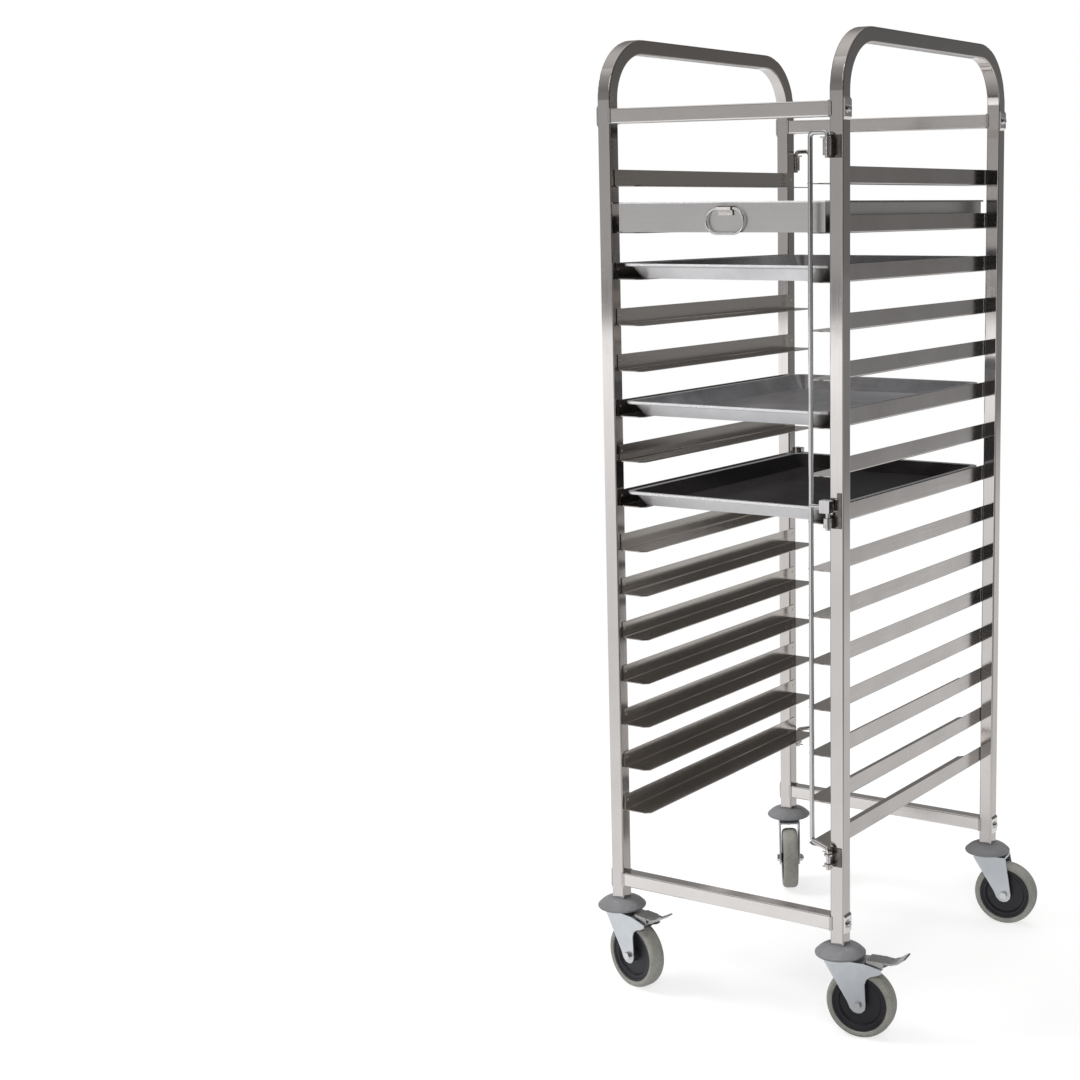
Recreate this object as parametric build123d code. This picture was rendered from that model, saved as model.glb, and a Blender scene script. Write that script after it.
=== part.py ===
from build123d import *
import math
import os

# Sheet pan rack on casters: two bent tube side frames, four bolted cross bars, fifteen tiers of
# runners, two swing bars that keep the pans in, four swivel casters and four pans.
# Millimetres. X is the width, Y the depth (front is -Y), Z is up from the floor.
# The origin is on the floor, in the middle of the four posts.

# Frame
WIDTH = 470.0
DEPTH = 620.0
HEIGHT = 1658.0
TUBE = 25.0
WALL = 1.5
TUBE_R = 2.5
POST_FOOT = 155.5
BEND_R = 92.0
BAR_TOP_Z = 1526.5
BAR_LOW_Z = 192.5
SADDLE_T = 1.5
CLAMP_T = 2.5

# Runners
TIERS = 15
PITCH = 78.0
TIER_1 = 1410.0
RUNNER_T = 1.5
RUNNER_H = 28.5
RUNNER_W = 50.0
RUNNER_LEN = 600.0

# Pans
PAN_W = 400.0
PAN_L = 600.0
PAN_FRONT = -303.0
PAN_GAP = 0.3
DEEP_TIER = 2
SHALLOW_TIERS = (3, 6, 8)

# Swing bars
ROD = 8.0
PIVOT_X = 213.0
PIVOT_Y = -321.0
ROD_X = 179.5
ROD_Y = -316.5
BAR_TOP = 1490.0
BAR_FOOT = 334.0
BAR_MID = 897.0
REAR_DROP = 10.0
RUN_FIT = 0.05

# Casters
WHEEL_R = 60.0
WHEEL_W = 30.0
TRAIL = 38.0
CORE_R = 48.5
STEM_R = 6.0
AXLE_R = 4.0
FORK_IN = 18.0
FORK_T = 2.5
CROWN_Z = 131.0
BUMPER_R = 43.0
PEDAL_D, PEDAL_Z = 68.0, 124.0
# name: x side, y side, heading of the trail from +X, has a brake
CASTERS = {
    "front_left": (-1, -1, -14.0, True),
    "front_right": (1, -1, 8.0, True),
    "back_right": (1, 1, 9.0, False),
    "back_left": (-1, 1, -57.0, False),
}

POST_X = WIDTH / 2 - TUBE / 2
POST_Y = DEPTH / 2 - TUBE / 2
INNER_X = WIDTH / 2 - TUBE


def block(x0, x1, y0, y1, z0, z1):
    return Pos((x0 + x1) / 2, (y0 + y1) / 2, (z0 + z1) / 2) * Box(abs(x1 - x0), abs(y1 - y0), abs(z1 - z0))


def rod_z(x, y, z0, z1, r):
    return Pos(x, y, (z0 + z1) / 2) * Cylinder(r, z1 - z0)


def rod_x(x0, x1, y, z, r):
    return Pos((x0 + x1) / 2, y, z) * Rot(0, 90, 0) * Cylinder(r, x1 - x0)


def rod_y(y0, y1, x, z, r):
    return Pos(x, (y0 + y1) / 2, z) * Rot(90, 0, 0) * Cylinder(r, y1 - y0)


def group(parts):
    solids = []
    for part in parts:
        solids.extend(part.solids())
    return Compound(children=solids)


def save(shape, name):
    export_step(shape, f"parts/{name}.step")


def prism_xz(points, y0, y1):
    """A flat outline in X and Z, extruded along Y."""
    wire = Wire.make_polygon([Vector(x, y0, z) for x, z in points], close=True)
    return extrude(Face(wire), amount=y1 - y0, dir=(0, 1, 0))


def prism_xy(points, z0, z1):
    wire = Wire.make_polygon([Vector(x, y, z0) for x, y in points], close=True)
    return extrude(Face(wire), amount=z1 - z0, dir=(0, 0, 1))


# ---- side frames ----
def frame_path():
    top = HEIGHT - TUBE / 2
    turn = top - BEND_R
    a = Vector(0, -POST_Y, POST_FOOT)
    b = Vector(0, -POST_Y, turn)
    c = Vector(0, -POST_Y + BEND_R, top)
    d = Vector(0, POST_Y - BEND_R, top)
    e = Vector(0, POST_Y, turn)
    f = Vector(0, POST_Y, POST_FOOT)
    s = BEND_R * math.sin(math.radians(45))
    m1 = Vector(0, -POST_Y + BEND_R - s, turn + s)
    m2 = Vector(0, POST_Y - BEND_R + s, turn + s)
    return Wire([
        Line(a, b).edge(), ThreePointArc(b, m1, c).edge(), Line(c, d).edge(),
        ThreePointArc(d, m2, e).edge(), Line(e, f).edge(),
    ])


def side_frame(side):
    path = frame_path()
    start = Plane(origin=(0, -POST_Y, POST_FOOT), z_dir=(0, 0, 1))
    outer = sweep(start * RectangleRounded(TUBE, TUBE, TUBE_R), path=path)
    hole = TUBE - 2 * WALL
    inner = sweep(start * RectangleRounded(hole, hole, TUBE_R - WALL), path=path)
    tube = outer - inner
    for y in (-POST_Y, POST_Y):
        for z in (BAR_TOP_Z, BAR_LOW_Z):
            tube -= rod_x(-TUBE, TUBE, y, z, 3.1)
    return Pos(side * POST_X, 0, 0) * tube


# ---- cross bars and their fixings ----
BAR_END = INNER_X - SADDLE_T


def cross_bar(y, z):
    hole = TUBE - 2 * WALL
    plane = Plane(origin=(-BAR_END, y, z), x_dir=(0, 1, 0), z_dir=(1, 0, 0))
    outer = extrude(plane * RectangleRounded(TUBE, TUBE, TUBE_R), amount=2 * BAR_END)
    inner = extrude(plane * RectangleRounded(hole, hole, TUBE_R - WALL), amount=2 * BAR_END)
    return outer - inner


def joint_spots():
    for side in (-1, 1):
        for y in (-POST_Y, POST_Y):
            for z in (BAR_TOP_Z, BAR_LOW_Z):
                yield side, y, z


def saddle(side, y, z):
    """A U of sheet between bar end and post, its lips on the post's front and back faces."""
    half = TUBE / 2 + 0.1
    body = block(BAR_END, INNER_X, -half - 1.2, half + 1.2, -13.0, 13.0)
    body += block(INNER_X - 0.2, INNER_X + 4.0, half, half + 1.2, -11.5, 11.5)
    body += block(INNER_X - 0.2, INNER_X + 4.0, -half - 1.2, -half, -11.5, 11.5)
    body -= rod_x(0, WIDTH, 0, 0, 3.1)
    return Pos(0, y, z) * (body if side > 0 else mirror(body, about=Plane.YZ))


def clamp_plate(side, y, z):
    """A plate on the post's outer face with sloping ends and a bolt hole."""
    face = WIDTH / 2
    points = [(face, -17.5), (face + CLAMP_T, -13.0), (face + CLAMP_T, 13.0), (face, 17.5)]
    body = prism_xz(points, -TUBE / 2 + 1.0, TUBE / 2 - 1.0)
    body -= rod_x(0, WIDTH, 0, 0, 3.1)
    return Pos(0, y, z) * (body if side > 0 else mirror(body, about=Plane.YZ))


def end_plug(side, y, z):
    half = TUBE / 2 - WALL - 0.05
    plane = Plane(origin=(BAR_END - 22.0, 0, 0), x_dir=(0, 1, 0), z_dir=(1, 0, 0))
    body = extrude(plane * RectangleRounded(2 * half, 2 * half, TUBE_R - WALL), amount=22.0)
    body -= rod_x(0, WIDTH, 0, 0, 3.0)
    return Pos(0, y, z) * (body if side > 0 else mirror(body, about=Plane.YZ))


def corner_bolt(side, y, z):
    """A dome head bolt with a hexagon socket, on a thin washer."""
    face = WIDTH / 2 + CLAMP_T
    shank = rod_x(BAR_END - 18.0, face + 1.2, 0, 0, 3.0)
    washer = rod_x(face, face + 1.0, 0, 0, 7.5)
    head = rod_x(face + 1.0, face + 4.4, 0, 0, 5.4)
    head = chamfer(head.edges().filter_by(GeomType.CIRCLE).sort_by(Axis.X)[-1], 1.6)
    socket = Pos(face + 3.0, 0, 0) * Rot(0, 90, 0) * extrude(RegularPolygon(2.3, 6), amount=4)
    body = shank + washer + head - socket
    return Pos(0, y, z) * (body if side > 0 else mirror(body, about=Plane.YZ))


# ---- runners ----
def tier_z(tier):
    """Underside of a tier's runners."""
    return TIER_1 - PITCH * (tier - 1)


def runner(side, tier):
    """An L of sheet: a tall flange on the posts and a wide flange under the pan."""
    z = tier_z(tier)
    t, r = RUNNER_T, 3.0
    x0 = INNER_X
    half = RUNNER_LEN / 2
    body = block(x0 - RUNNER_W, x0, -half, half, z, z + RUNNER_H)
    body -= block(x0 - RUNNER_W - 1, x0 - t, -half - 1, half + 1, z + t, z + RUNNER_H + 1)
    outer = body.edges().filter_by(Axis.Y).sort_by_distance((x0, 0, z))[0]
    body = fillet(outer, r)
    inner = body.edges().filter_by(Axis.Y).sort_by_distance((x0 - t, 0, z + t))[0]
    body = fillet(inner, r - t)
    for end in (-half, half):
        inward = 1 if end < 0 else -1
        tip = x0 - RUNNER_W
        cut = [(tip - 1, end - inward), (tip + 11, end - inward), (tip - 1, end + inward * 9)]
        body -= prism_xy(cut, z - 1, z + t + 1)
    return body if side > 0 else mirror(body, about=Plane.YZ)


# ---- swing bars ----
def bar_bracket(z, low, high, eyes):
    """A plate on the post's front face with lugs that carry the bar's pivot."""
    body = block(PIVOT_X - 2.0, PIVOT_X + 19.0, -DEPTH / 2 - 2.0, -DEPTH / 2, z + low, z + high)
    for eye_z, eye_t in eyes:
        lug = rod_z(PIVOT_X, PIVOT_Y, z + eye_z - eye_t / 2, z + eye_z + eye_t / 2, 7.5)
        lug += block(PIVOT_X - 1.0, PIVOT_X + 7.5, PIVOT_Y, -DEPTH / 2 - 1.0,
                     z + eye_z - eye_t / 2, z + eye_z + eye_t / 2)
        body += lug
    body -= rod_z(PIVOT_X, PIVOT_Y, z + low - 5, z + high + 5, ROD / 2 + RUN_FIT)
    return body


TOP_EYE = BAR_TOP - 22.0
LOW_EYE = BAR_FOOT - 27.0


def brackets():
    top = bar_bracket(TOP_EYE, -18.0, 18.0, [(-1.0, 26.0)])
    mid = bar_bracket(BAR_MID, -36.0, -14.0, [(-26.0, 16.0)])
    mid += block(PIVOT_X + 11.5, PIVOT_X + 19.0, -DEPTH / 2 - 2.0, -DEPTH / 2, BAR_MID - 15.0, BAR_MID + 22.0)
    low = bar_bracket(LOW_EYE, -14.0, 18.0, [(8.5, 3.0), (-8.5, 3.0)])
    return [top, mid, low]


def bent_rod():
    """One rod: a long upright with both ends bent towards the post and turned down."""
    r = 8.0
    top, foot = BAR_TOP, BAR_FOOT
    points = [
        (PIVOT_X, PIVOT_Y, TOP_EYE - 18.0), (PIVOT_X, PIVOT_Y, top), (ROD_X, ROD_Y, top),
        (ROD_X, ROD_Y, foot), (PIVOT_X, PIVOT_Y, foot - 9.0), (PIVOT_X, PIVOT_Y, LOW_EYE - 17.0),
    ]
    start = Plane(origin=points[0], z_dir=(0, 0, 1))
    return sweep(start * Circle(ROD / 2), path=bend_path(points, r))


def bend_path(points, r):
    """Straight runs joined by arcs of radius r."""
    pts = [Vector(*p) for p in points]
    edges = []
    last = pts[0]
    for i in range(1, len(pts) - 1):
        u = (pts[i - 1] - pts[i]).normalized()
        v = (pts[i + 1] - pts[i]).normalized()
        angle = math.acos(max(-1.0, min(1.0, u.dot(v))))
        reach = r / math.tan(angle / 2)
        a, b = pts[i] + u * reach, pts[i] + v * reach
        bis = (u + v).normalized()
        centre = pts[i] + bis * (r / math.sin(angle / 2))
        middle = centre - bis * r
        edges.append(Line(last, a).edge())
        edges.append(ThreePointArc(a, middle, b).edge())
        last = b
    edges.append(Line(last, pts[-1]).edge())
    return Wire(edges)


def swing_bar():
    rod = bent_rod()
    arm = Pos(0, 0, BAR_MID) * rod_x(ROD_X, PIVOT_X - 8.0, 0, 0, 3.2)
    arm = Pos(0, (ROD_Y + PIVOT_Y) / 2, 0) * arm
    hub = block(PIVOT_X - 13.0, PIVOT_X + 5.5, PIVOT_Y - 6.5, PIVOT_Y + 6.0, BAR_MID - 10.0, BAR_MID + 11.0)
    hub = chamfer(hub.edges().filter_by(Axis.Y), 1.5)
    pin = rod_z(PIVOT_X, PIVOT_Y, BAR_MID - 38.0, BAR_MID - 5.0, ROD / 2)
    bar = rod + arm + hub + pin
    pins = [
        rod_x(PIVOT_X - 11.0, PIVOT_X + 7.0, PIVOT_Y, LOW_EYE - 13.0, 1.2),
        rod_x(PIVOT_X - 11.0, PIVOT_X + 7.0, PIVOT_Y, LOW_EYE + 12.5, 1.2),
        rod_x(PIVOT_X - 13.0, PIVOT_X + 6.0, PIVOT_Y, TOP_EYE + 13.8, 1.2),
    ]
    for pin in pins:
        bar = bar + pin
    return bar


def to_rear(shape):
    """The rear set is the front set turned half a turn and mounted a little lower."""
    return Pos(0, 0, -REAR_DROP) * Rot(0, 0, 180) * shape


# ---- casters, drawn with the trail along +X and the swivel axis at the origin ----
def stem():
    half = TUBE / 2 - WALL - 0.05
    base = Plane(origin=(0, 0, POST_FOOT))
    body = extrude(base * RectangleRounded(2 * half, 2 * half, TUBE_R - WALL), amount=30.0)
    body += rod_z(0, 0, 119.0, POST_FOOT + 1.0, STEM_R)
    body += rod_z(0, 0, 137.0, 138.5, 15.0)
    body += rod_z(0, 0, 121.0, 126.5, 10.0)
    return body


def bumper():
    with BuildPart() as part:
        with BuildSketch(Plane.XZ):
            with BuildLine():
                Polyline((STEM_R + 0.05, 138.5), (BUMPER_R - 2.5, 138.5))
                ThreePointArc((BUMPER_R - 2.5, 138.5), (BUMPER_R, 141.2), (BUMPER_R - 2.0, 144.0))
                ThreePointArc((BUMPER_R - 2.0, 144.0), (33.0, 151.0), (19.0, POST_FOOT))
                Polyline((19.0, POST_FOOT), (STEM_R + 0.05, POST_FOOT), (STEM_R + 0.05, 138.5))
            make_face()
        revolve(axis=Axis.Z)
    return part.part


def fork(braked):
    """Pressed steel: a domed crown and two side plates that taper to the axle."""
    if braked:
        outline = [(-20, 134), (-22.5, 130), (19, 66), (24.5, 54), (31, 48), (38, 46.5), (45, 48),
                   (50.5, 53.5), (52, 61), (50, 98), (53, 107), (60, 113), (72, 117), (79, 121), (79, 127),
                   (62, 131), (46, 134)]
    else:
        outline = [(-20, 134), (-22.5, 130), (19, 66), (24.5, 54), (31, 48), (38, 46.5), (45, 48),
                   (50.5, 53.5), (52, 61), (47, 95), (40, 134)]
    out = FORK_IN + FORK_T
    body = prism_xz(outline, -out, out)
    reach = 90 if braked else 60
    body -= block(-60, reach, -FORK_IN, FORK_IN, 0, CROWN_Z)
    if braked:
        body -= block(47, reach, -FORK_IN, FORK_IN, CROWN_Z - 1, 140)
    body += rod_z(0, 0, CROWN_Z, 136.7, 21.5)
    body -= rod_z(0, 0, 100, 150, STEM_R + RUN_FIT)
    body -= rod_y(-out - 1, out + 1, TRAIL, WHEEL_R, AXLE_R)
    return body


def axle():
    """A hexagon bolt through both fork plates with a nut on the far side."""
    out = FORK_IN + FORK_T
    bolt = rod_y(-out, out + 8.0, TRAIL, WHEEL_R, AXLE_R)
    hexagon = extrude(RegularPolygon(7.2, 6), amount=5.0)
    bolt += Pos(TRAIL, -out, WHEEL_R) * Rot(90, 0, 0) * hexagon
    nut = Pos(TRAIL, out + 5.5, WHEEL_R) * Rot(90, 0, 0) * hexagon
    nut += rod_y(out, out + 1.2, TRAIL, WHEEL_R, 7.6)
    nut -= rod_y(-out, out + 20.0, TRAIL, WHEEL_R, AXLE_R)
    return group([bolt, nut])


def ring_profile(points):
    """Turned about the wheel axle; points are radius and distance along the axle."""
    wire = Wire.make_polygon([Vector(TRAIL + r, s, WHEEL_R) for r, s in points], close=True)
    return revolve(Face(wire), Axis((TRAIL, 0, WHEEL_R), (0, 1, 0)), 360)


def wheel_core():
    bore, hub = AXLE_R + RUN_FIT, FORK_IN - 0.3
    side = [(bore, hub), (9.0, hub), (11.0, hub - 4.0), (13.0, 8.0), (36.0, 7.0), (38.5, 10.5), (42.5, 11.0),
            (43.5, 12.0), (44.5, 12.0), (45.0, 13.2), (CORE_R, 13.5)]
    return ring_profile(side + [(r, -s) for r, s in reversed(side)])


def tyre():
    half = WHEEL_W / 2
    side = [(CORE_R, 13.5), (CORE_R + 1.5, half - 0.5), (WHEEL_R - 6.0, half), (WHEEL_R - 2.5, half - 2.0),
            (WHEEL_R - 0.7, half - 5.5), (WHEEL_R, half - 9.0)]
    return ring_profile(side + [(r, -s) for r, s in reversed(side)])


def pedal():
    """A pressed lever on a cross pin, with a nose over the tread and a wide foot plate."""
    d, z, w = PEDAL_D, PEDAL_Z, FORK_IN - 0.6
    hub = rod_y(-w, w, d, z, 4.2)
    cover = block(d - 17.0, d + 12.0, -15.5, 15.5, z + 2.0, z + 15.0)
    cover -= block(d - 15.0, d + 14.0, -13.5, 13.5, z - 5.0, z + 12.8)
    lever = prism_xz([(d + 8, z + 13), (d + 12, z + 15), (d + 24, z + 14), (d + 35, z + 18), (d + 49, z + 27),
                      (d + 51, z + 25), (d + 37, z + 15), (d + 25, z + 11), (d + 12, z + 12)], -14.0, 14.0)
    web = prism_xz([(d - 3, z - 1), (d - 2, z + 13.5), (d + 12, z + 13.5), (d + 4, z - 2)], -5.0, 5.0)
    nose = prism_xz([(d - 8, z + 2.0), (d - 2, z + 4), (d + 2, z - 3), (d - 5, z - 4.5)], -11.0, 11.0)
    return hub + cover + lever + web + nose


def place(shape, name):
    sx, sy, heading, _ = CASTERS[name]
    return Pos(sx * POST_X, sy * POST_Y, 0) * Rot(0, 0, heading) * shape


def at_post(shape, name):
    sx, sy = CASTERS[name][:2]
    return Pos(sx * POST_X, sy * POST_Y, 0) * shape


# ---- pans ----
def tray_solid(w, l, h, taper, corner, z):
    """A tapered block with rounded corners, its wide end at height z + h."""
    y = PAN_FRONT + PAN_L / 2
    tight = max(corner - taper / 2, 2.0)
    low = Plane(origin=(0, y, z)) * RectangleRounded(w - 2 * taper, l - 2 * taper, tight)
    high = Plane(origin=(0, y, z + h)) * RectangleRounded(w, l, corner)
    return loft([low.face(), high.face()])


def shallow_pan(tier):
    z = tier_z(tier) + RUNNER_T + PAN_GAP
    height, taper, rim = 25.5, 19.0, 7.0
    t = 1.2
    w, l = PAN_W - 2 * rim, PAN_L - 2 * rim
    y = PAN_FRONT + PAN_L / 2
    body = tray_solid(w, l, height, taper, 20.0, z)
    body += block_rounded(PAN_W, PAN_L, 24.0, y, z + height - 4.5, z + height)
    body -= block_rounded(PAN_W - 3.0, PAN_L - 3.0, 22.5, y, z + height - 6.0, z + height - 1.5) \
        - tray_solid(w, l, height, taper, 20.0, z)
    cavity = tray_solid(w - 2 * t, l - 2 * t, height, taper, 19.0, z + t)
    return body - cavity


def block_rounded(w, l, r, y, z0, z1):
    return extrude(Plane(origin=(0, y, z0)) * RectangleRounded(w, l, r), amount=z1 - z0)


DEEP_H = 50.0
RING_X = 14.0
RING_Y = PAN_FRONT - 5.0


def deep_pan():
    """A straight sided drawer pan with an outward lip."""
    z = tier_z(DEEP_TIER) + RUNNER_T + PAN_GAP
    y = PAN_FRONT + PAN_L / 2
    body = block_rounded(PAN_W - 6.0, PAN_L - 6.0, 3.0, y, z, z + DEEP_H)
    body += block(-PAN_W / 2 + 1, PAN_W / 2 - 1, PAN_FRONT, PAN_FRONT + 3.2, z + 1.0, z + DEEP_H - 2.0)
    body += block_rounded(PAN_W, PAN_L, 3.0, y, z + DEEP_H - 2.0, z + DEEP_H)
    body -= block_rounded(PAN_W - 9.0, PAN_L - 9.0, 2.0, y, z + 1.5, z + DEEP_H + 1)
    return body


def ring_clip():
    """A folded strap spot welded to the pan front; the ring's top bar turns in it."""
    z = tier_z(DEEP_TIER) + RUNNER_T + PAN_GAP + 39.0
    body = rod_x(RING_X - 15.0, RING_X + 15.0, RING_Y, z, 3.4)
    body += block(RING_X - 15.0, RING_X + 15.0, PAN_FRONT - 1.2, PAN_FRONT, z - 11.0, z + 3.4)
    body += block(RING_X - 15.0, RING_X + 15.0, RING_Y, PAN_FRONT, z + 2.2, z + 3.4)
    return body - rod_x(RING_X - 20.0, RING_X + 20.0, RING_Y, z, 2.0 + RUN_FIT)


def ring_handle():
    """An oval of wire that hangs from the clip."""
    z = tier_z(DEEP_TIER) + RUNNER_T + PAN_GAP + 39.0
    half, drop, r = 36.0, 41.0, 2.0
    e = drop / 2
    left, right = RING_X - half + e, RING_X + half - e
    mid = z - e
    p = lambda x, h: Vector(x, RING_Y, h)
    path = Wire([
        Line(p(left, z), p(right, z)).edge(),
        ThreePointArc(p(right, z), p(right + e, mid), p(right, z - drop)).edge(),
        Line(p(right, z - drop), p(left, z - drop)).edge(),
        ThreePointArc(p(left, z - drop), p(left - e, mid), p(left, z)).edge(),
    ])
    start = Plane(origin=p(left, z), x_dir=(0, 1, 0), z_dir=(1, 0, 0))
    return sweep(start * Circle(r), path=path)


os.makedirs("parts", exist_ok=True)

save(side_frame(-1), "side_frame_left")
save(side_frame(1), "side_frame_right")
for label, y, z in (
    ("top_front", -POST_Y, BAR_TOP_Z),
    ("top_rear", POST_Y, BAR_TOP_Z),
    ("bottom_front", -POST_Y, BAR_LOW_Z),
    ("bottom_rear", POST_Y, BAR_LOW_Z),
):
    save(cross_bar(y, z), f"cross_bar_{label}")
save(group([saddle(*spot) for spot in joint_spots()]), "bar_saddles")
save(group([clamp_plate(*spot) for spot in joint_spots()]), "clamp_plates")
save(group([end_plug(*spot) for spot in joint_spots()]), "bar_end_plugs")
save(group([corner_bolt(*spot) for spot in joint_spots()]), "corner_bolts")
for tier in range(1, TIERS + 1):
    save(group([runner(-1, tier), runner(1, tier)]), f"runners_tier_{tier:02d}")

front_brackets = brackets()
bar = swing_bar()
save(group(front_brackets), "swing_brackets_front")
save(group([to_rear(b) for b in front_brackets]), "swing_brackets_rear")
save(bar, "swing_bar_front")
save(to_rear(bar), "swing_bar_rear")

save(group([at_post(stem(), name) for name in CASTERS]), "caster_stems")
for name in CASTERS:
    braked = CASTERS[name][3]
    save(place(bumper(), name), f"bumper_{name}")
    save(place(fork(braked), name), f"fork_{name}")
    save(place(axle(), name), f"axle_{name}")
    save(place(wheel_core(), name), f"wheel_core_{name}")
    save(place(tyre(), name), f"tyre_{name}")
    if braked:
        save(place(pedal(), name), f"brake_pedal_{name}")

save(deep_pan(), "deep_pan_tier_02")
save(ring_clip(), "ring_clip")
save(ring_handle(), "ring_handle")
for tier in SHALLOW_TIERS:
    save(shallow_pan(tier), f"sheet_pan_tier_{tier:02d}")
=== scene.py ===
import math

import bmesh
import bpy
from mathutils import Matrix, Vector


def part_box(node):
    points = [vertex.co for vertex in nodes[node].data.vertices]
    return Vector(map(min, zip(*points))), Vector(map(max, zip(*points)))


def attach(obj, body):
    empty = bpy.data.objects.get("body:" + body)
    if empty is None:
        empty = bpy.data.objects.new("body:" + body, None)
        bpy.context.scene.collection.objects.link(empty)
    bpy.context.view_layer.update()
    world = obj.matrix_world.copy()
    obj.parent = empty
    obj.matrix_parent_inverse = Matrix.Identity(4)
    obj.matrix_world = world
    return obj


# Sheet pan rack: the looks. Metres, in the CAD frame: X width, -Y front, Z up, floor at z = 0.

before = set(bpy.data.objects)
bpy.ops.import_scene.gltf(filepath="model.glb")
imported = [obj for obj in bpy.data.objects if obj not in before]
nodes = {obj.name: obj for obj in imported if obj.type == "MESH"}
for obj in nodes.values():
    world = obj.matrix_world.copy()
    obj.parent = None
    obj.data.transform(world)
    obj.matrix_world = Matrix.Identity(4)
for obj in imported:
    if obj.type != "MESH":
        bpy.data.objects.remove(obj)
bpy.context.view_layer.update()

# Driving places, read from the frame
POST_LO, POST_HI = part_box("side_frame_right")
INNER_X = POST_LO.x
FRONT_Y, BACK_Y = POST_LO.y, POST_HI.y
PAN_FRONT_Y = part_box("sheet_pan_tier_03")[0].y
TIERS = [f"runners_tier_{i:02d}" for i in range(1, 16)]

# Small pieces, and the widths of painted reflection and painted shade
RUNNER_WALL = 0.0015
WELD_INSET, WELD_LEVEL, WELD_R, WELD_RISE = 0.0165, 0.62, 0.0026, 0.0007
BEAD_PROUD, BEAD_RISE, FRONT_EDGE = 0.0009, 0.0003, 0.012
CLIP_GAP, CLIP_FOLD = 0.0022, 0.0014
# Studio
FLOOR_SIZE = 60
STRIP_X = 0.09                      # the strip light's offset from straight ahead
DARK_END = (0.515, -0.857)          # the way to the unlit end of the studio


# ---- node helpers ----
class Nodes:
    """Builds a material's node tree in short lines."""

    def __init__(self, name):
        self.mat = bpy.data.materials.new(name)
        self.mat.use_nodes = True
        self.tree = self.mat.node_tree
        self.shader = self.tree.nodes["Principled BSDF"]
        coord = self.tree.nodes.new("ShaderNodeTexCoord")
        self.coord = coord.outputs["Object"]

    def link(self, a, b):
        self.tree.links.new(a, b)

    def split(self, vector):
        node = self.tree.nodes.new("ShaderNodeSeparateXYZ")
        self.link(vector, node.inputs[0])
        return node.outputs

    def normal(self):
        return self.split(self.tree.nodes.new("ShaderNodeNewGeometry").outputs["True Normal"])

    def scaled(self, scale, rotation=(0, 0, 0)):
        node = self.tree.nodes.new("ShaderNodeMapping")
        node.inputs["Scale"].default_value = scale
        node.inputs["Rotation"].default_value = rotation
        self.link(self.coord, node.inputs["Vector"])
        return node.outputs["Vector"]

    def noise(self, scale, detail=4.0, rough=0.55, vector=None):
        node = self.tree.nodes.new("ShaderNodeTexNoise")
        node.inputs["Scale"].default_value = scale
        node.inputs["Detail"].default_value = detail
        node.inputs["Roughness"].default_value = rough
        self.link(vector or self.coord, node.inputs["Vector"])
        return node.outputs["Fac"]

    def ramp(self, value, low, high, a=0.3, b=0.7):
        node = self.tree.nodes.new("ShaderNodeMapRange")
        node.inputs["From Min"].default_value = a
        node.inputs["From Max"].default_value = b
        node.inputs["To Min"].default_value = low
        node.inputs["To Max"].default_value = high
        self.link(value, node.inputs["Value"])
        return node.outputs["Result"]

    def math(self, kind, a, b=None):
        node = self.tree.nodes.new("ShaderNodeMath")
        node.operation = kind
        for i, v in enumerate((a, b)):
            if v is None:
                continue
            if isinstance(v, (int, float)):
                node.inputs[i].default_value = v
            else:
                self.link(v, node.inputs[i])
        return node.outputs[0]

    def mix(self, fac, a, b):
        node = self.tree.nodes.new("ShaderNodeMix")
        node.data_type = "RGBA"
        if isinstance(fac, (int, float)):
            node.inputs["Factor"].default_value = fac
        else:
            self.link(fac, node.inputs["Factor"])
        rgba = [s for s in node.inputs if s.type == "RGBA"]
        for socket, v in zip(rgba, (a, b)):
            if isinstance(v, tuple):
                socket.default_value = (*v, 1.0)
            else:
                self.link(v, socket)
        return [s for s in node.outputs if s.type == "RGBA"][0]

    def bump(self, height, strength, distance=0.001):
        node = self.tree.nodes.new("ShaderNodeBump")
        node.inputs["Strength"].default_value = strength
        node.inputs["Distance"].default_value = distance
        self.link(height, node.inputs["Height"])
        self.link(node.outputs["Normal"], self.shader.inputs["Normal"])

    def set(self, **values):
        for key, v in values.items():
            socket = self.shader.inputs[key.replace("_", " ")]
            if isinstance(v, tuple):
                socket.default_value = (*v, 1.0)
            elif isinstance(v, (int, float)):
                socket.default_value = v
            else:
                self.link(v, socket)


def inner_faces(n):
    """1 on faces that look to the middle of the rack or up, 0 on the outer ones."""
    place, face = n.split(n.coord), n.normal()
    inward = n.math("LESS_THAN", n.math("MULTIPLY", place[0], face[0]), -0.04)
    return n.math("MAXIMUM", inward, n.math("GREATER_THAN", face[2], 0.5))


def side_faces(n):
    """1 on faces that look along X, 0 on the others."""
    return n.math("GREATER_THAN", n.math("ABSOLUTE", n.normal()[0]), 0.7)


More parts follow.
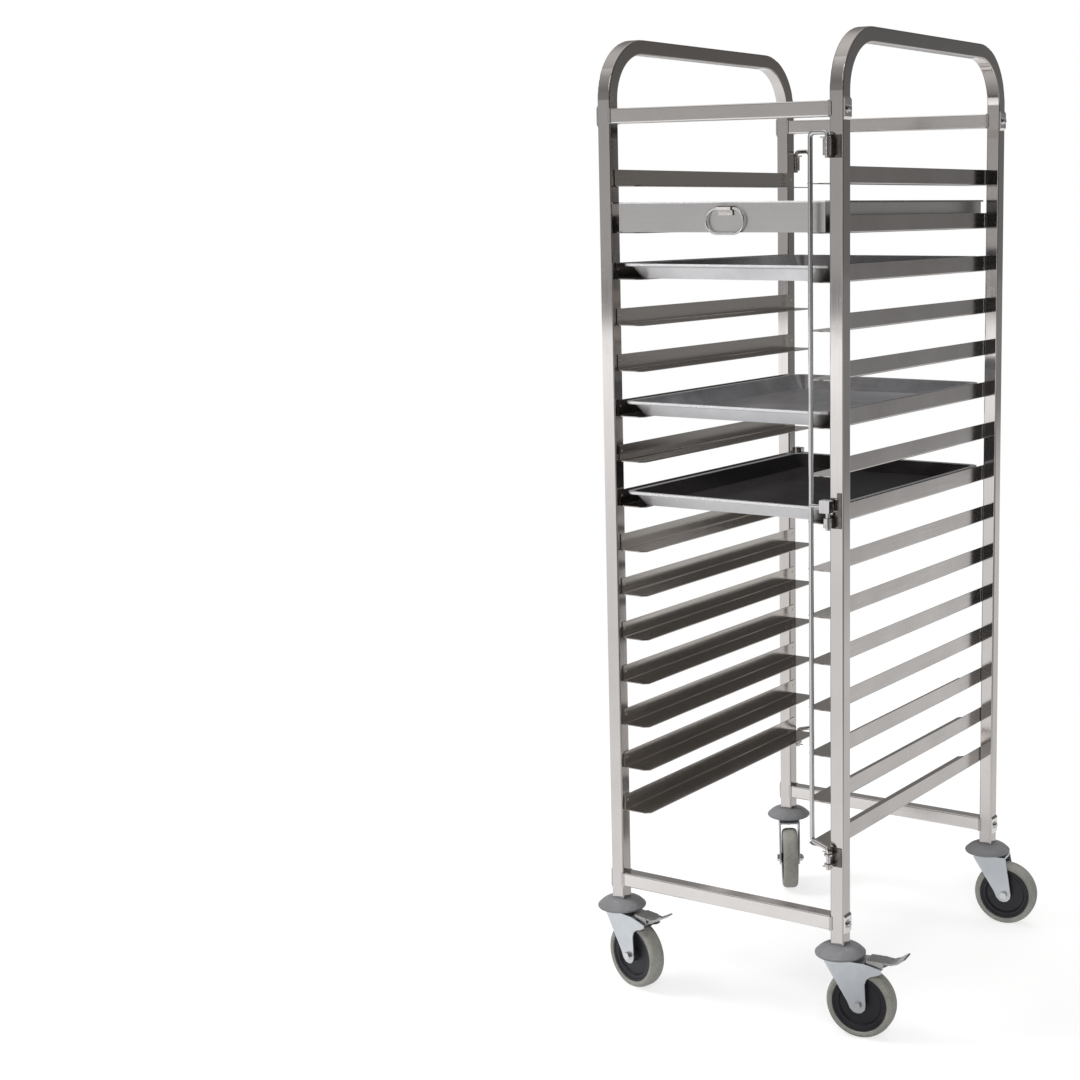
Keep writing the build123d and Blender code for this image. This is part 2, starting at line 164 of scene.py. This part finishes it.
def brushed(name, clean, dull, rough, grain, stain=0.35, bump=0.05, inner_shade=None, side_shade=None):
    """Brushed or rolled metal: fine lines along one axis, cloudy wear and faint finger marks.
    The optional inner tone is painted shade on the faces that look to the middle of the rack or up;
    the optional side tone is painted shade on the faces that look along X."""
    n = Nodes(name)
    lines = n.noise(1.0, 3.0, 0.6, n.scaled(grain))
    cloud = n.noise(9.0, 5.0, 0.6)
    marks = n.noise(42.0, 6.0, 0.7)
    tone = n.math("ADD", n.ramp(cloud, 0.0, stain), n.math("MULTIPLY", n.ramp(lines, 0.0, 1.0), 0.22))
    colour = n.mix(tone, clean, dull)
    # Painted shade: the faces that look along X are darkened.
    if side_shade:
        colour = n.mix(n.math("MULTIPLY", side_faces(n), n.ramp(cloud, 0.75, 1.0)), colour, side_shade)
    # Painted shade: the faces that look to the middle of the rack or up are darkened.
    if inner_shade:
        inner_shade_mask = n.math("MULTIPLY", inner_faces(n), n.ramp(cloud, 0.82, 1.0))
        colour = n.mix(inner_shade_mask, colour, inner_shade)
    n.set(Base_Color=colour, Metallic=1.0)
    wear = n.math("ADD", n.ramp(lines, rough[0], rough[1]), n.ramp(marks, 0.0, 0.06, 0.55, 0.75))
    n.set(Roughness=wear)
    n.bump(lines, bump, 0.0004)
    return n.mat


ALONG_X, ALONG_Y, ALONG_Z = (6, 900, 900), (900, 6, 900), (900, 900, 6)


def moulded(name, light, dark, rough, speck, bump, distance=0.0006, scuff=None):
    """Plastic or rubber: fine grain, cloudy colour and pale scuffs."""
    n = Nodes(name)
    grain = n.noise(speck, 4.0, 0.65)
    cloud = n.noise(22.0, 5.0, 0.6)
    colour = n.mix(n.ramp(cloud, 0.0, 1.0), light, dark)
    if scuff:
        mask = n.ramp(n.noise(60.0, 7.0, 0.75), 0.0, 0.55, 0.58, 0.74)
        colour = n.mix(mask, colour, scuff)
    n.set(Base_Color=colour, Roughness=n.ramp(grain, rough[0], rough[1]))
    n.bump(grain, bump, distance)
    return n.mat


def pan_metal(name, piece, inner_clean, inner_dull, bare):
    """An aluminium pan whose inside is coated or dulled by baking: the faces below the rim that
    look inward or up. bare is how much of the inside is still metal. Painted shade darkens a band
    under the rolled edge."""
    low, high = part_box(piece)
    n = Nodes(name)
    place, face = n.split(n.coord), n.normal()
    across = n.math("MULTIPLY", place[0], face[0])
    along = n.math("MULTIPLY", n.math("SUBTRACT", place[1], (low.y + high.y) / 2), face[1])
    inward = n.math("LESS_THAN", n.math("ADD", across, along), -0.01)
    upward = n.math("GREATER_THAN", face[2], 0.5)
    inside = n.math("MAXIMUM", inward, upward)
    below_rim = n.math("LESS_THAN", place[2], high.z - 0.0008)
    above_base = n.math("GREATER_THAN", place[2], low.z + 0.0006)
    coat = n.math("MULTIPLY", n.math("MULTIPLY", inside, below_rim), above_base)
    cloud = n.noise(11.0, 6.0, 0.65)
    grain = n.noise(600.0, 3.0, 0.6)
    streak = n.noise(1.0, 4.0, 0.6, n.scaled((7, 160, 160)))
    metal = n.mix(n.ramp(cloud, 0.0, 1.0), (0.96, 0.96, 0.98), (0.84, 0.84, 0.865))
    # Painted shade: a dark band just under the rolled edge, where the edge shades the wall.
    under_rim_shade = n.math("GREATER_THAN", place[2], high.z - 0.0064)
    metal = n.mix(n.math("MULTIPLY", under_rim_shade, 0.5), metal, (0.30, 0.30, 0.31))
    used = n.mix(n.ramp(n.math("ADD", cloud, n.math("MULTIPLY", streak, 0.4)), 0.0, 1.0, 0.4, 0.9),
                 inner_clean, inner_dull)
    n.set(Base_Color=n.mix(coat, metal, used), Specular_IOR_Level=0.08)
    outer = n.math("SUBTRACT", 1.0, coat)
    n.set(Metallic=n.math("ADD", n.math("MULTIPLY", coat, bare), n.math("MULTIPLY", outer, 0.72)))
    n.set(Roughness=n.math("ADD", n.ramp(cloud, 0.26, 0.40), n.math("MULTIPLY", coat, 0.12)))
    n.bump(n.math("ADD", grain, streak), 0.08, 0.0003)
    return n.mat


def rolled_metal(name):
    """The rolled edge of a pan, with a painted reflection: bright along the front, dark round the sides and
    back.
    """
    n = Nodes(name)
    # Painted reflection: behind the front run of the edge the rim is painted dark.
    painted_dark_sides = n.math("GREATER_THAN", n.split(n.coord)[1], PAN_FRONT_Y + FRONT_EDGE)
    cloud = n.noise(14.0, 5.0, 0.6)
    fine = n.noise(500.0, 3.0, 0.6)
    bright = n.mix(n.ramp(cloud, 0.0, 1.0), (0.98, 0.98, 0.99), (0.88, 0.88, 0.90))
    n.set(Base_Color=n.mix(painted_dark_sides, bright, (0.13, 0.125, 0.13)))
    n.set(Metallic=0.4, Roughness=n.ramp(cloud, 0.20, 0.32))
    n.bump(fine, 0.05, 0.0002)
    return n.mat


def clip_metal(name):
    """The folded strap that holds the ring: bright, with painted shade at its cut end and along its crease.
    """
    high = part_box("ring_clip")[1]
    n = Nodes(name)
    place = n.split(n.coord)
    fine = n.noise(200.0, 3.0, 0.6)
    bright = n.mix(n.ramp(fine, 0.0, 1.0), (0.97, 0.92, 0.90), (0.82, 0.77, 0.75))
    # Painted shade: the cut end and the crease along the top are painted dark.
    gap = n.math("GREATER_THAN", place[0], high.x - CLIP_GAP)
    fold = n.math("GREATER_THAN", place[2], high.z - CLIP_FOLD)
    n.set(Base_Color=n.mix(n.math("MAXIMUM", gap, fold), bright, (0.05, 0.045, 0.045)))
    n.set(Metallic=0.45, Roughness=n.ramp(fine, 0.20, 0.34))
    n.bump(fine, 0.05, 0.0002)
    return n.mat


def worn_tyre(name):
    """Grey rubber: fine grain, dusty patches and dark specks."""
    n = Nodes(name)
    grain = n.noise(900.0, 4.0, 0.7)
    dust = n.noise(35.0, 6.0, 0.7)
    colour = n.mix(n.ramp(dust, 0.0, 1.0), (0.27, 0.265, 0.24), (0.40, 0.395, 0.36))
    speck = n.ramp(n.noise(520.0, 2.0, 0.6), 0.0, 0.6, 0.55, 0.7)
    colour = n.mix(speck, colour, (0.13, 0.127, 0.115))
    n.set(Base_Color=colour, Roughness=n.ramp(dust, 0.62, 0.8))
    n.bump(n.math("ADD", grain, n.math("MULTIPLY", dust, 0.5)), 0.25, 0.0004)
    return n.mat


def hinge_metal(name):
    """Hinge brackets: bright turned sleeves on plates that were browned by welding."""
    n = Nodes(name)
    cloud, grain = n.noise(70.0, 6.0, 0.7), n.noise(500.0, 3.0, 0.6)
    bright = n.mix(n.ramp(cloud, 0.0, 1.0, 0.42, 0.62), (0.80, 0.78, 0.76), (0.46, 0.43, 0.41))
    browned = n.mix(n.ramp(cloud, 0.0, 1.0), (0.26, 0.235, 0.22), (0.13, 0.115, 0.105))
    plate = n.math("LESS_THAN", n.math("ABSOLUTE", n.split(n.coord)[1]), BACK_Y + 0.0025)
    n.set(Base_Color=n.mix(plate, bright, browned), Metallic=1.0, Roughness=n.ramp(cloud, 0.16, 0.34))
    n.bump(grain, 0.15, 0.0004)
    return n.mat


HINGE = hinge_metal("hinge_steel")
# The post steel carries painted shade on its inner faces and on its X-facing sides.
STEEL = brushed("steel_post", (0.78, 0.745, 0.73), (0.62, 0.59, 0.575), (0.04, 0.11), ALONG_Z,
                inner_shade=(0.50, 0.47, 0.45), side_shade=(0.56, 0.535, 0.52))
BAR = brushed("steel_bar", (0.91, 0.88, 0.865), (0.74, 0.71, 0.695), (0.09, 0.20), ALONG_X)
# The runner steel carries painted shade on its inner and upward faces.
RUNNER = brushed("steel_runner", (0.62, 0.59, 0.575), (0.46, 0.435, 0.42), (0.11, 0.22), ALONG_Y, 0.5,
                 inner_shade=(0.56, 0.525, 0.49))
ROD = brushed("steel_rod", (0.76, 0.75, 0.75), (0.56, 0.55, 0.55), (0.10, 0.18), ALONG_Z)
FIXING = brushed("steel_fixing", (0.66, 0.65, 0.64), (0.44, 0.42, 0.41), (0.24, 0.38), ALONG_Z, 0.6)
ZINC = brushed("zinc", (0.80, 0.84, 0.88), (0.66, 0.70, 0.75), (0.30, 0.44), (60, 60, 60), 0.5, 0.08)
DEEP = brushed("steel_pan", (0.74, 0.73, 0.725), (0.62, 0.61, 0.605), (0.30, 0.42), ALONG_X)
BOLT = brushed("bright_bolt", (0.88, 0.88, 0.88), (0.70, 0.70, 0.70), (0.10, 0.20), (60, 60, 60), 0.3)
RING = brushed("ring_steel", (0.98, 0.97, 0.96), (0.70, 0.69, 0.68), (0.05, 0.12), (90, 90, 90), 0.5)
BUMPER = moulded("bumper_plastic", (0.26, 0.262, 0.272), (0.205, 0.207, 0.217), (0.42, 0.58), 700.0, 0.2,
                 scuff=(0.53, 0.53, 0.54))
CORE = moulded("wheel_core_plastic", (0.024, 0.024, 0.030), (0.014, 0.014, 0.019), (0.34, 0.5), 500.0, 0.15,
               scuff=(0.07, 0.07, 0.08))
TYRE = worn_tyre("tyre_rubber")
PEDAL = brushed("pedal_steel", (0.72, 0.72, 0.72), (0.26, 0.26, 0.26), (0.22, 0.40),
                (260, 260, 260), 0.9, 0.35)


def paint(name, material):
    mesh = nodes[name].data
    mesh.materials.clear()
    mesh.materials.append(material)


# The first start that fits a node's name gives its material.
LOOKS = (
    ("cross_bar", BAR), ("clamp_plates", BAR), ("runners", RUNNER), ("swing_bar_", ROD),
    ("ring_handle", RING), ("axle", BOLT), ("corner_bolts", BOLT), ("fork", ZINC),
    ("caster_stems", ZINC), ("bar_end_plugs", ZINC), ("bumper", BUMPER), ("wheel_core", CORE),
    ("tyre", TYRE), ("brake_pedal", PEDAL), ("deep_pan_tier_02", DEEP), ("swing_brackets", HINGE),
    ("side_frame", STEEL), ("", FIXING))

for name in nodes:
    if name == "ring_clip":
        paint(name, clip_metal("clip_steel"))
    elif name == "sheet_pan_tier_08":
        paint(name, pan_metal("coated_pan", name, (0.018, 0.017, 0.017), (0.044, 0.040, 0.040), 0.0))
    elif name.startswith("sheet_pan"):
        paint(name, pan_metal("baked_" + name, name, (0.70, 0.70, 0.73), (0.48, 0.48, 0.505), 1.0))
    else:
        paint(name, next(look for start, look in LOOKS if name.startswith(start)))


# ---- small visual pieces ----
def new_piece(name, mesh_build, material, body):
    mesh = bpy.data.meshes.new(name)
    bm = bmesh.new()
    mesh_build(bm)
    bm.to_mesh(mesh)
    bm.free()
    for polygon in mesh.polygons:
        polygon.use_smooth = True
    piece = bpy.data.objects.new(name, mesh)
    bpy.context.scene.collection.objects.link(piece)
    mesh.materials.append(material)
    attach(piece, body)


def dimple(bm, centre, axis, radius, rise):
    """A shallow dome standing out of a face; its other half is sunk in the wall."""
    turn = Vector((0, 0, 1)).rotation_difference(Vector(axis)).to_matrix().to_4x4()
    bmesh.ops.create_uvsphere(
        bm, u_segments=16, v_segments=10, radius=radius,
        matrix=Matrix.Translation(centre) @ turn @ Matrix.Diagonal((1, 1, rise / radius, 1)))


def spot_welds(bm):
    for name in TIERS:
        a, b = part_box(name)
        z = a.z + (b.z - a.z) * WELD_LEVEL
        for side in (-1, 1):
            for y in (FRONT_Y + WELD_INSET, BACK_Y - WELD_INSET):
                face = side * (INNER_X - RUNNER_WALL)
                dimple(bm, (face, y, z), (-side, 0, 0), WELD_R, WELD_RISE)


new_piece("spot_weld_marks", spot_welds, ROD, "frame")


def rounded_loop(half_x, y0, y1, corner, z, steps=10):
    """Points round a level rectangle with rounded corners."""
    points = []
    for cx, cy, first in ((half_x - corner, y1 - corner, 0.0), (-half_x + corner, y1 - corner, 90.0),
                          (-half_x + corner, y0 + corner, 180.0), (half_x - corner, y0 + corner, 270.0)):
        for i in range(steps + 1):
            turn = math.radians(first + 90.0 * i / steps)
            points.append(Vector((cx + corner * math.cos(turn), cy + corner * math.sin(turn), z)))
    return points


def bead(bm, points, radius, sides=14):
    """A round bar along a closed level path."""
    rings = []
    for i, point in enumerate(points):
        along = (points[(i + 1) % len(points)] - points[i - 1]).normalized()
        out = along.cross(Vector((0, 0, 1)))
        rings.append([bm.verts.new(point + radius * (math.cos(a) * out + math.sin(a) * Vector((0, 0, 1))))
                      for a in (2 * math.pi * k / sides for k in range(sides))])
    for i, ring in enumerate(rings):
        after = rings[(i + 1) % len(rings)]
        for k in range(sides):
            bm.faces.new((ring[k], after[k], after[(k + 1) % sides], ring[(k + 1) % sides]))


RIM = rolled_metal("rolled_rim")
for tier, radius, corner in (("02", 0.0016, 0.003), ("03", 0.0024, 0.024), ("06", 0.0024, 0.024),
                             ("08", 0.0024, 0.024)):
    pan = "deep_pan_tier_02" if tier == "02" else f"sheet_pan_tier_{tier}"
    low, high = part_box(pan)
    inset = radius - BEAD_PROUD
    loop = rounded_loop(high.x - inset, low.y + inset, high.y - inset, corner, high.z - radius + BEAD_RISE)
    new_piece(f"rolled_rim_{tier}", lambda bm, loop=loop, radius=radius: bead(bm, loop, radius), RIM,
              f"pan_tier_{tier}")

# ---- floor, light and camera ----
# Each glow below acts on reflected and diffuse rays; for the camera the floor fades to white.
bpy.ops.mesh.primitive_plane_add(size=FLOOR_SIZE, location=(0, 0, 0))
floor = bpy.context.object
floor.name = "floor"
fn = Nodes("floor_paint")
place = fn.tree.nodes.new("ShaderNodeVectorMath")
place.operation = "LENGTH"
fn.link(fn.coord, place.inputs[0])
away = fn.ramp(place.outputs["Value"], 0.0, 1.0, 0.7, 2.6)
floor_x, floor_y = fn.split(fn.coord)[:2]
deep = fn.math("ADD", fn.math("MULTIPLY", floor_x, 0.6), floor_y)
ahead = fn.math("SUBTRACT", floor_x, fn.math("MULTIPLY", floor_y, 0.3))
sweep = fn.math("MULTIPLY", fn.ramp(deep, 1.0, 0.40, 5.0, 12.0), fn.ramp(ahead, 1.0, 0.40, 0.9, 1.8))
lift = fn.math("MULTIPLY", fn.ramp(place.outputs["Value"], 1.0, 1.5, 4.0, 13.0),
               fn.ramp(place.outputs["Value"], 1.0, 0.2, 18.5, 21.5))
sweep = fn.math("MAXIMUM", fn.math("MULTIPLY", sweep, lift), 0.36)
lean = fn.math("ABSOLUTE", fn.math("ADD", fn.math("DIVIDE", floor_x, floor_y), STRIP_X))
lane = fn.math("MULTIPLY", fn.ramp(lean, 1.0, 0.0, 0.04, 0.15), fn.math("LESS_THAN", floor_y, -1.2))
sweep = fn.math("ADD", sweep, fn.math("MULTIPLY", lane, 1.3))
# The end of the studio where the photographer stands is unlit.
towards = fn.math("ADD", fn.math("MULTIPLY", floor_x, DARK_END[0]), fn.math("MULTIPLY", floor_y, DARK_END[1]))
across = fn.math("SUBTRACT", fn.math("MULTIPLY", floor_y, DARK_END[0]),
                 fn.math("MULTIPLY", floor_x, DARK_END[1]))
aisle = fn.math("DIVIDE", fn.math("ABSOLUTE", across), fn.math("MAXIMUM", towards, 0.01))
sweep = fn.math("MULTIPLY", sweep, fn.ramp(aisle, 0.1, 1.0, 0.16, 0.30))
seen = fn.tree.nodes.new("ShaderNodeLightPath").outputs["Is Camera Ray"]
unseen = fn.math("MULTIPLY", fn.math("SUBTRACT", 1.0, seen), fn.math(
    "MULTIPLY", fn.ramp(away, 0.42, 0.77, 0.0, 1.0), sweep))
glow = fn.math("ADD", fn.math("MULTIPLY", seen, fn.ramp(away, 0.72, 1.0, 0.0, 1.0)), unseen)
paint_tone = fn.mix(fn.ramp(fn.noise(1.4, 3.0), 0.0, 1.0), (0.36, 0.36, 0.36), (0.34, 0.34, 0.342))
fn.set(Base_Color=fn.mix(away, paint_tone, (0.0, 0.0, 0.0)), Roughness=0.75, Specular_IOR_Level=0.0,
       Emission_Color=(1.0, 1.0, 1.0), Emission_Strength=glow)
floor.data.materials.append(fn.mat)

world = bpy.data.worlds.new("studio")
bpy.context.scene.world = world
world.use_nodes = True
wt = world.node_tree
background = wt.nodes["Background"]


def world_ramp(source, low, high, a, b):
    node = wt.nodes.new("ShaderNodeMapRange")
    for key, value in (("From Min", a), ("From Max", b), ("To Min", low), ("To Max", high)):
        node.inputs[key].default_value = value
    wt.links.new(source, node.inputs["Value"])
    return node.outputs["Result"]


def world_math(kind, *values):
    node = wt.nodes.new("ShaderNodeMath")
    node.operation = kind
    for socket, value in zip(node.inputs, values):
        if isinstance(value, float):
            socket.default_value = value
        else:
            wt.links.new(value, socket)
    return node.outputs[0]


# A studio: light below, grey at eye level, dark above it, lighter overhead; bright on the left
# and dim at the front right.
coord = wt.nodes.new("ShaderNodeTexCoord")
split = wt.nodes.new("ShaderNodeSeparateXYZ")
wt.links.new(coord.outputs["Generated"], split.inputs[0])
look_x, look_y, look_z = split.outputs[:3]
sky = wt.nodes.new("ShaderNodeValToRGB")
DOME = ((0.0, 0.60), (0.44, 0.40), (0.475, 0.19), (0.525, 0.18),
        (0.56, 0.11), (0.66, 0.09), (0.80, 0.16), (1.0, 0.50))
stops = sky.color_ramp.elements
while len(stops) < len(DOME):
    stops.new(0.5)
for stop, (place, shade) in zip(stops, DOME):
    stop.position = place
    stop.color = (shade, shade * 0.985, shade * 0.97, 1.0)
wt.links.new(world_ramp(look_z, 0.0, 1.0, -1.0, 1.0), sky.inputs["Fac"])
side = world_ramp(look_x, 2.2, 1.08, -0.35, 0.4)
front, right = world_ramp(look_y, 0.45, 1.0, -0.5, 0.2), world_ramp(look_x, 1.0, 0.0, 0.0, 0.3)
corner = world_math("MAXIMUM", front, right)
lit = world_math("MULTIPLY", corner, side)
# A tall strip light in front of the rack: the bright line down each rod.
spread = world_math("ABSOLUTE", world_math("SUBTRACT", look_x, STRIP_X))
strip = world_ramp(spread, 7.0, 0.0, 0.04, 0.15)
lit = world_math("MULTIPLY_ADD", strip, world_ramp(look_y, 1.0, 0.0, -0.7, -0.5), lit)
# The photographer's end of the studio, front right, is unlit.
facing = wt.nodes.new("ShaderNodeVectorMath")
facing.operation = "DOT_PRODUCT"
facing.inputs[1].default_value = (*DARK_END, 0.0)
wt.links.new(coord.outputs["Generated"], facing.inputs[0])
lit = world_math("MULTIPLY", lit, world_ramp(facing.outputs["Value"], 1.0, 0.1, 0.93, 0.985))
scale = wt.nodes.new("ShaderNodeVectorMath")
scale.operation = "SCALE"
wt.links.new(sky.outputs["Color"], scale.inputs[0])
wt.links.new(lit, scale.inputs["Scale"])
# The camera itself sees plain white.
path = wt.nodes.new("ShaderNodeLightPath")
mixer = wt.nodes.new("ShaderNodeMix")
mixer.data_type = "RGBA"
wt.links.new(path.outputs["Is Camera Ray"], mixer.inputs["Factor"])
sockets = [s for s in mixer.inputs if s.type == "RGBA"]
wt.links.new(scale.outputs["Vector"], sockets[0])
sockets[1].default_value = (1.0, 1.0, 1.0, 1.0)
wt.links.new([s for s in mixer.outputs if s.type == "RGBA"][0], background.inputs["Color"])
background.inputs["Strength"].default_value = 1.0
bpy.context.scene.view_settings.view_transform = "Standard"


def softbox(name, place, aim, size, power, colour=(1, 1, 1)):
    """An area lamp that lights the scene but isn't mirrored in the steel."""
    data = bpy.data.lights.new(name, "AREA")
    data.shape = "RECTANGLE"
    data.size, data.size_y = size
    data.energy = power
    data.color = colour
    lamp = bpy.data.objects.new(name, data)
    bpy.context.scene.collection.objects.link(lamp)
    lamp.location = place
    lamp.visible_glossy = False
    lamp.rotation_euler = (Vector(aim) - Vector(place)).to_track_quat("-Z", "Y").to_euler()


softbox("key", (-3.2, -1.6, 4.2), (0, 0, 0.8), (1.6, 1.6), 120)
softbox("fill", (2.6, -3.8, 3.4), (0, 0, 0.5), (1.4, 1.4), 90, (1.0, 0.99, 0.98))
softbox("top", (0, 0.4, 4.6), (0, 0, 0), (3.4, 3.4), 75)

# The camera stands front right at eye level, looking slightly down.
FOCAL_PX, FRAME_PX = 1916.0, 1080.0
EYE = Vector((1.6868, -2.9838, 1.3768))
YAW, PITCH, ROLL = 0.5412, 0.1514, -0.0068
cam_data = bpy.data.cameras.new("camera")
cam_data.sensor_width = 36.0
cam_data.lens = 36.0 * FOCAL_PX / FRAME_PX
cam_data.shift_x, cam_data.shift_y = -0.204, -0.039
camera = bpy.data.objects.new("camera", cam_data)
bpy.context.scene.collection.objects.link(camera)
camera.location = EYE
aim = (Matrix.Rotation(YAW, 4, "Z") @ Matrix.Rotation(math.pi / 2 - PITCH, 4, "X")
       @ Matrix.Rotation(ROLL, 4, "Z"))
camera.rotation_euler = aim.to_euler()
bpy.context.scene.camera = camera
